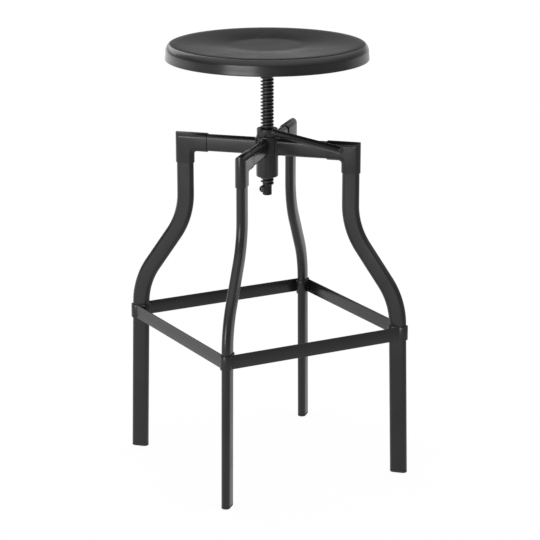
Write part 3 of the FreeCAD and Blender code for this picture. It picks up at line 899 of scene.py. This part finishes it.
@dataclass
class Spider:
    """Hub with four flat-oval arms and their elbow sleeves."""

    finish: Finish
    arm_height: float = 568.0
    hub_radius: float = 19.0
    hub_foot: float = 515.5
    hub_top: float = 586.5
    hub_bore: float = 11.8
    foot_round: float = 2.5
    top_round: float = 0.8
    bore_round: float = 0.6
    tube_depth: float = 30.0
    tube_width: float = 15.0
    arm_start: float = 15.0  # inside the hub's wall
    arm_end: float = 131.5
    weld: float = 2.2
    leg_radius: float = 148.0
    elbow_wall: float = 1.7
    elbow_arm_length: float = 58.0
    elbow_leg_length: float = 53.5
    inner_round: float = 5.0
    outer_round: float = 0.9
    mouth_round: float = 0.45
    mouth_play: float = 0.2  # how much larger than the tube the mouth is
    lip_depth: float = 6.0

    def hub(self) -> None:
        """Spin the barrel and round its edges."""
        blank = Blank()
        blank.sleeve(self.hub_bore, self.hub_radius, self.hub_foot, self.hub_top)
        blank.ease(blank.ring(self.hub_radius, self.hub_foot), self.foot_round, 4)
        blank.ease(blank.ring(self.hub_radius, self.hub_top), self.top_round)
        blank.ease(blank.ring(self.hub_bore, self.hub_foot), self.bore_round, 2)
        blank.finish("hub_barrel", Slot.FRAME_COAT, self.finish, "hub")

    def arm(self) -> Blank:
        """Draw an arm from inside the hub's wall into its sleeve.

        Returns:
            The arm's mesh, along X.
        """
        blank = Blank()
        near = blank.loop(self.tube_depth, self.tube_width, self.tube_width / 2)
        blank.stand(near, Vector((self.arm_start, 0, self.arm_height)), OUT, SIDE)
        blank.cap(near, blank.push(near, Matrix.Translation((self.arm_end - self.arm_start, 0, 0))))
        return blank

    def arm_weld(self) -> Blank:
        """Lay the weld between an arm and the hub."""
        weld = FilletWeld(self.tube_depth, self.tube_width, self.hub_radius, self.weld)
        return weld.lay().move(Matrix.Translation((0, 0, self.arm_height)))

    def lip(self, blank: Blank, mouth: Edges, middle: Vector, squeeze: Vector,
            inward: Vector) -> None:
        """Turn a sleeve's mouth in to the tube.

        Args:
            blank: Sleeve's mesh.
            mouth: Edges of its mouth.
            middle: Middle of the mouth.
            squeeze: Scale of the mouth down to the tube, along each axis.
            inward: Step into the sleeve.
        """
        about = Matrix.Translation(middle) @ Matrix.Diagonal(squeeze).to_4x4() @ Matrix.Translation(-middle)
        rim = blank.push(mouth, about)
        blank.cap(blank.push(rim, Matrix.Translation(inward)))
        blank.ease(mouth, self.mouth_round)

    def elbow(self) -> Blank:
        """Mitre a sleeve, round its inner corner and turn in its mouths.

        Returns:
            The sleeve's mesh, in the plane of X and Z.
        """
        depth = self.tube_depth + 2 * self.elbow_wall
        width = self.tube_width + 2 * self.elbow_wall
        half = depth / 2
        flat = (depth - width) / 2
        arm_mouth = Vector((self.leg_radius + half - self.elbow_arm_length, 0, self.arm_height))
        leg_mouth = Vector((self.leg_radius, 0, self.arm_height + half - self.elbow_leg_length))
        blank = Blank()
        first = blank.loop(depth, width, width / 2, 64)
        blank.stand(first, arm_mouth, OUT, SIDE)
        # The runs meet on the slope through the inner and the outer corner
        slope = self.leg_radius - self.arm_height
        mitre = blank.push(first, Matrix(((0, 0, 1, slope), (0, 1, 0, 0), (0, 0, 1, 0), (0, 0, 0, 1))))
        last = blank.push(mitre, onto_level(leg_mouth.z))
        out_by = {edge: sum(vert.co.x for vert in edge.verts) / 2 - self.leg_radius for edge in mitre}
        inner = [edge for edge in mitre if out_by[edge] < -flat - TOUCH]
        outer = [edge for edge in mitre if out_by[edge] > flat + TOUCH]
        blank.ease(inner, self.inner_round, 6)
        blank.ease(outer, self.outer_round)
        thin = (self.tube_depth + self.mouth_play) / depth
        slim = (self.tube_width + self.mouth_play) / width
        self.lip(blank, first, arm_mouth, Vector((1, slim, thin)), OUT * self.lip_depth)
        self.lip(blank, last, leg_mouth, Vector((thin, slim, 1)), UP * self.lip_depth)
        return blank

    def build(self) -> None:
        """Make the hub, and an arm and an elbow for each leg."""
        self.hub()
        for corner in Corner:
            self.arm().finish_at(corner, "arm_tube_", self.finish, "arm_")
            self.arm_weld().finish_at(corner, "arm_weld_", self.finish)
            self.elbow().finish_at(corner, "elbow_sleeve_", self.finish, "elbow_")


@dataclass
class Legs:
    """Four bent flat-oval legs on plastic feet."""

    finish: Finish
    foot_finish: Finish
    tube_depth: float = 30.0
    tube_width: float = 15.0
    top: float = 551.5
    top_radius: float = 148.0
    shoulder_height: float = 435.148  # corner of the centreline where the slant begins
    knee_radius: float = 232.548
    knee_height: float = 310.739
    foot_radius: float = 239.6
    splay_deg: float = 1.3
    bend_radius: float = 131.0
    bend_step_deg: float = 1.2
    flange: float = 3.8
    foot_round: float = 1.2
    seam: float = 0.15  # line between the foot and the tube's end
    seam_round: float = 0.35

    @property
    def lean(self) -> float:
        """How far the lower run leans out for each millimetre of height."""
        return math.tan(math.radians(self.splay_deg))

    def leg(self) -> Blank:
        """Bend a leg and cut its lower end level.

        Returns:
            The leg's mesh, in the plane of X and Z.
        """
        blank = Blank()
        head = blank.loop(self.tube_depth, self.tube_width, self.tube_width / 2)
        end = blank.sweep(head, [
            Vector((self.top_radius, 0, self.top)), Vector((self.top_radius, 0, self.shoulder_height)),
            Vector((self.knee_radius, 0, self.knee_height)),
            Vector((self.foot_radius - self.flange * self.lean, 0, self.flange)),
        ], [self.bend_radius, self.bend_radius], SIDE, self.bend_step_deg)
        blank.shift(end, onto_level(self.flange))
        blank.cap(head, end)
        blank.ease(end, self.seam_round, 2)
        return blank

    def foot(self) -> Blank:
        """Mould a foot's flange, level with the floor.

        Returns:
            The foot's mesh, out along X.
        """
        rise = self.flange - self.seam
        blank = Blank()
        sole = blank.loop(self.tube_depth, self.tube_width, self.tube_width / 2)
        blank.shift(sole, Matrix.Translation((self.foot_radius, 0, 0)))
        top = blank.push(sole, Matrix.Translation((-rise * self.lean, 0, rise)))
        blank.cap(sole, top)
        blank.ease(sole, self.foot_round, 4)
        blank.ease(top, self.seam_round, 2)
        return blank

    def build(self) -> None:
        """Make each leg and its foot."""
        for corner in Corner:
            self.leg().finish_at(corner, "leg_tube_", self.finish, "leg_")
            self.foot().finish_at(corner, "foot_plug_", self.foot_finish, "foot_", slot=Slot.FOOT)


@dataclass(frozen=True)
class Bead:
    """Upright row of uneven weld lumps."""

    radius: float
    lumps: int
    margin: float  # from the bar's edges to the middle of the first and the last lump
    unrest: float = 2.4  # radians by which each lump's size and place move on from the last one's
    wander: float = 0.35

    def lay(self, blank: Blank, foot: Vector, rise: float) -> None:
        """Lay the lumps.

        Args:
            blank: Mesh that takes them.
            foot: Lower end of the joint.
            rise: Height of the joint.
        """
        for count in range(self.lumps):
            swing = math.sin(self.unrest * count)
            grow = Matrix.Diagonal((1.0, 1.0 + 0.25 * swing, 0.9 + 0.2 * swing)).to_4x4()
            height = self.margin + (rise - 2 * self.margin) * count / (self.lumps - 1)
            at = Matrix.Translation(foot + UP * height + SIDE * (self.wander * swing))
            bmesh.ops.create_icosphere(blank.bm, subdivisions=2, radius=self.radius, matrix=at @ grow)


@dataclass
class Footrest:
    """Four flat bars hooked round the legs' outer edges, closed by clips and welds."""

    finish: Finish
    height: float = 255.0
    bar_height: float = 24.0
    bar_thickness: float = 2.5
    bar_edge: float = 0.5
    hook_run: float = 2.0
    bend_radius: float = 2.0
    bend_step_deg: float = 6.0
    clip_thickness: float = 2.0
    clip_edge: float = 0.45
    clip_short: float = 3.0  # the clip ends this far short of the hook's run
    band_gap: float = 0.1
    tube_width: float = 15.0
    inner_edge: float = 218.537  # leg's inner edge over the height of the bars
    outer_edge: float = 249.089
    tip_bead: Bead = Bead(1.7, 9, 2.5)
    tip_sink: float = 0.9  # middle of that bead inside the clip's face
    notch_bead: Bead = Bead(1.3, 11, 2.0)
    notch_short: float = 4.0  # middle of that bead short of the hook's run
    notch_out: float = 2.5  # and out from the leg's wide side

    @property
    def edge_centre(self) -> float:
        """Middle of the round on the leg's outer edge."""
        return self.outer_edge - self.tube_width / 2

    def bar(self) -> Blank:
        """Bend a bar between two legs.

        Returns:
            The bar's mesh, from a leg on X to one on Y.
        """
        hook = self.tube_width / 2 + self.band_gap + self.bar_thickness / 2
        bend = self.bend_radius + self.bar_thickness / 2
        leave = self.edge_centre - self.hook_run - bend * math.tan(math.pi / 8)
        half = [Vector((self.edge_centre + hook, 0, self.height)),
                Vector((self.edge_centre + hook, hook, self.height)), Vector((leave, hook, self.height))]
        other = [Vector((point.y, point.x, point.z)) for point in reversed(half)]
        blank = Blank()
        start = blank.loop(self.bar_thickness, self.bar_height, self.bar_edge, 16)
        blank.cap(start, blank.sweep(start, half + other, [hook, bend, bend, hook], UP, self.bend_step_deg))
        return blank

    def clip(self) -> Blank:
        """Bend a strap round a leg's inner edge.

        Returns:
            The strap's mesh, for a leg on X.
        """
        wrap = self.tube_width / 2 + self.band_gap + self.clip_thickness / 2
        inner = self.inner_edge + self.tube_width / 2 - wrap
        end_at = self.edge_centre - self.hook_run - self.clip_short
        corners = [Vector((out, across, self.height)) for out, across in (
            (end_at, wrap), (inner, wrap), (inner, -wrap), (end_at, -wrap))]
        blank = Blank()
        start = blank.loop(self.clip_thickness, self.bar_height, self.clip_edge, 16)
        blank.cap(start, blank.sweep(start, corners, [wrap, wrap], UP, self.bend_step_deg))
        return blank

    def welds(self) -> Blank:
        """Lay the beads of a leg: down its inner edge, and in the corners between clip and bars.

        Returns:
            The beads' mesh, for a leg on X.
        """
        blank = Blank()
        low = self.height - self.bar_height / 2
        tip = self.inner_edge - self.band_gap - self.clip_thickness + self.tip_sink
        self.tip_bead.lay(blank, Vector((tip, 0, low)), self.bar_height)
        notch = self.edge_centre - self.hook_run - self.notch_short
        for across in (-1, 1):
            beside = across * (self.tube_width / 2 + self.notch_out)
            self.notch_bead.lay(blank, Vector((notch, beside, low)), self.bar_height)
        return blank

    def build(self) -> None:
        """Make every bar, clip and weld."""
        for side in Side:
            self.bar().finish_at(side, "footrest_flat_", self.finish, "footrest_bar_")
        for corner in Corner:
            self.clip().finish_at(corner, "clip_strap_", self.finish, "leg_clip_")
            self.welds().finish_at(corner, "clip_welds_", self.finish)


@dataclass(frozen=True)
class Lamp:
    """One soft bank, given by where it stands round the stool."""

    name: str
    azimuth_deg: float  # from the front, anticlockwise from above
    elevation_deg: float
    distance: float  # metres from the seat
    width: float  # metres
    height: float
    glow: float  # brightness of its cloth, where white paper is 1


@dataclass
class Studio:
    """White sweep with soft light and the camera of the photograph.

    Heights in the room are sines of the angle above level, and widths are cosines of the angle to
    either side of a direction.
    """

    eye: Triple = (-1.69286, -3.09402, 1.34422)
    look: Triple = (0.463117, 0.843684, -0.271910)
    lens_mm: float = 140.46
    sensor_mm: float = 36.0
    far: float = 100.0  # metres that the camera sees
    paper: str = "#f4f4f4"
    paper_size: float = 30.0  # metres from the middle to the edge
    tooth_mm: float = 2.0  # faint even tooth of pulped paper, drawn coarser so that it shows
    tooth_depth_mm: float = 0.05
    wash: float = 0.93  # how far the paper is lit to white for the eye
    bright_to: Triple = (-0.909, 0.416, 0.0)  # the paper's lighter end
    bright_span: Pair = (-1.1, 1.1)  # metres
    paper_range: Pair = (0.45, 0.99)
    paper_behind: float = 0.5  # what the lit sweep behind adds to it
    behind_span: Pair = (0.6, 1.8)  # metres
    room_range: Pair = (0.38, 1.38)  # walls, ceiling
    room_span: Pair = (0.18, 0.90)
    gap_to: Triple = (0.210, 0.978, 0.0)  # unlit wall behind the stool
    gap_depth: float = 0.96
    gap_width: Pair = (0.837, 0.908)
    gap_top: Pair = (0.635, 0.748)
    sweep_to: Triple = (0.381, 0.925, 0.0)  # paper drawn up that wall
    sweep_glow: float = 0.92
    sweep_width: Pair = (0.688, 0.948)
    sweep_top: Pair = (0.0, 0.225)
    middle: Triple = (0.0, 0.0, 0.73)  # what the lamps are aimed at
    lamps: tuple[Lamp, ...] = (
        Lamp("key_bank", -58.2, 5.3, 8.0, 5.0, 2.7, 5.2),
        Lamp("back_bank", -176.3, 25.4, 8.0, 5.7, 5.1, 1.9),
    )

    def paper_material(self) -> bpy.types.Material:
        """Make the paper, which falls off towards the room's dark side where the stool's gloss shows it.

        Returns:
            The material.
        """
        made = bpy.data.materials.new("white seamless paper")
        add = clear_nodes(made)
        path = add("LightPath").outputs
        place = add("TexCoord").outputs["Object"]
        tooth = add("TexNoise", {"Vector": place, "Scale": per_metre(self.tooth_mm)})
        bump = add("Bump", {"Height": tooth, "Strength": 0.1, "Distance": self.tooth_depth_mm * MM})
        lit = add("BsdfDiffuse", {"Color": linear(self.paper), "Normal": bump})
        along = add("VectorMath", [place, self.bright_to], operation="DOT_PRODUCT").outputs["Value"]
        fall = add("MapRange", [along, *self.bright_span, *self.paper_range])
        to_back = add("VectorMath", [place, self.sweep_to], operation="DOT_PRODUCT").outputs["Value"]
        behind = add("MapRange", [to_back, *self.behind_span, 0.0, self.paper_behind],
                     interpolation_type="SMOOTHSTEP")
        sheen = add("Math", [fall, behind], operation="ADD")
        eye = add("Math", [path["Is Camera Ray"], path["Is Transmission Ray"]], operation="MAXIMUM")
        glow = add("Mix", {0: eye, 2: sheen, 3: 1.0})
        white = add("Emission", {"Color": linear(WHITE), "Strength": glow})
        seen = add("Math", [eye, path["Is Glossy Ray"]], operation="MAXIMUM")
        share = add("Math", [seen, self.wash], operation="MULTIPLY")
        add("OutputMaterial", {"Surface": add("MixShader", [share, lit, white])})
        return made

    def floor(self) -> None:
        """Lay the white paper, which keeps the stool's shadow."""
        bm = bmesh.new()
        bmesh.ops.create_grid(bm, x_segments=1, y_segments=1, size=self.paper_size)
        mesh = bpy.data.meshes.new("paper_floor")
        bm.to_mesh(mesh)
        bm.free()
        mesh.materials.append(self.paper_material())
        sheet = bpy.data.objects.new("paper_floor", mesh)
        bpy.context.scene.collection.objects.link(sheet)

    def sky(self) -> None:
        """Light the room: white to the eye, and round the stool a pale ceiling over dimmer walls."""
        world = bpy.data.worlds.new("studio")
        add = clear_nodes(world)
        path = add("LightPath").outputs
        heading = add("TexCoord").outputs["Generated"]
        level = add("SeparateXYZ", [heading]).outputs[2]
        flat = add("VectorMath", [heading, LEVEL], operation="MULTIPLY")
        around = add("VectorMath", [flat], operation="NORMALIZE")
        soft = {"interpolation_type": "SMOOTHSTEP"}
        ceiling = add("MapRange", [level, *self.room_span, *self.room_range], **soft)
        to_gap = add("VectorMath", [around, self.gap_to], operation="DOT_PRODUCT").outputs["Value"]
        gap_width = add("MapRange", [to_gap, *self.gap_width], **soft)
        gap_height = add("MapRange", [level, *self.gap_top, self.gap_depth, 0.0], **soft)
        gap = add("Math", [gap_width, gap_height], operation="MULTIPLY")
        open_room = add("Math", [1.0, gap], operation="SUBTRACT")
        to_sweep = add("VectorMath", [around, self.sweep_to], operation="DOT_PRODUCT").outputs["Value"]
        sweep_width = add("MapRange", [to_sweep, *self.sweep_width], **soft)
        sweep_height = add("MapRange", [level, *self.sweep_top, self.sweep_glow, 0.0])
        sweep = add("Math", [sweep_width, sweep_height], operation="MULTIPLY")
        room = add("Math", [ceiling, open_room, sweep], operation="MULTIPLY_ADD")
        eye = add("Math", [path["Is Camera Ray"], path["Is Transmission Ray"]], operation="MAXIMUM")
        strength = add("Mix", {0: eye, 2: room, 3: 1.0})
        add("OutputWorld", {"Surface": add("Background", {"Color": linear(WHITE), "Strength": strength})})
        bpy.context.scene.world = world

    def hang(self, lamp: Lamp) -> None:
        """Hang one soft bank, aimed at the seat.

        Args:
            lamp: Its place, size and brightness.
        """
        azimuth = math.radians(lamp.azimuth_deg)
        level = math.radians(lamp.elevation_deg)
        flat = math.cos(level)
        back = Vector((math.sin(azimuth) * flat, -math.cos(azimuth) * flat, math.sin(level)))
        data = bpy.data.lights.new(lamp.name, "AREA")
        data.shape = "RECTANGLE"
        data.size = lamp.width
        data.size_y = lamp.height
        data.energy = math.pi * lamp.width * lamp.height * lamp.glow
        box = bpy.data.objects.new(lamp.name, data)
        box.location = Vector(self.middle) + back * lamp.distance
        box.rotation_euler = (-back).to_track_quat("-Z", "Y").to_euler()
        box.visible_camera = False
        bpy.context.scene.collection.objects.link(box)

    def camera(self) -> None:
        """Set up the camera at the photograph's viewing angle."""
        data = bpy.data.cameras.new("camera")
        data.lens = self.lens_mm
        data.sensor_width = self.sensor_mm
        data.clip_end = self.far
        camera = bpy.data.objects.new("camera", data)
        camera.location = self.eye
        camera.rotation_euler = Vector(self.look).to_track_quat("-Z", "Y").to_euler()
        bpy.context.scene.collection.objects.link(camera)
        bpy.context.scene.camera = camera

    def build(self) -> None:
        """Set up floor, light and camera."""
        self.floor()
        self.sky()
        for lamp in self.lamps:
            self.hang(lamp)
        self.camera()
        bpy.context.scene.view_settings.view_transform = "Standard"


def main() -> None:
    """Build every sub-assembly in order and note the sizes."""
    logging.basicConfig(level=logging.INFO, format="%(name)s: %(message)s")
    coat = PowderCoat("satin black powder coat")
    seat_coat = PowderCoat("satin black powder coat on sheet", peel_mm=3.0, peel_depth_mm=0.012, dull=0.28)
    # The lever's light edge colour is a painted highlight: a glint ring round the rounded end of its tip
    lever_coat = PowderCoat("satin black powder coat, handled", edge="#505052", smooth=0.2, dull=0.28)
    screw_steel = BlackedSteel("blacked screw steel", rub_radius_mm=11.5)
    bolt_steel = BlackedSteel("blacked bolt steel", skin="#4a4a4b", chatter_mm=3.77)
    feet = MouldedPlastic("moulded polyethylene")
    nylon = MouldedPlastic("moulded nylon", body="#202022", scuff="#343437", smooth=0.4, dull=0.55)
    Seat(seat_coat, nylon).build()
    LiftScrew(screw_steel, bolt_steel).build()
    Lock(coat, lever_coat).build()
    Spider(coat).build()
    Legs(coat, feet).build()
    Footrest(coat).build()
    Studio().build()


if __name__ == "__main__":
    main()
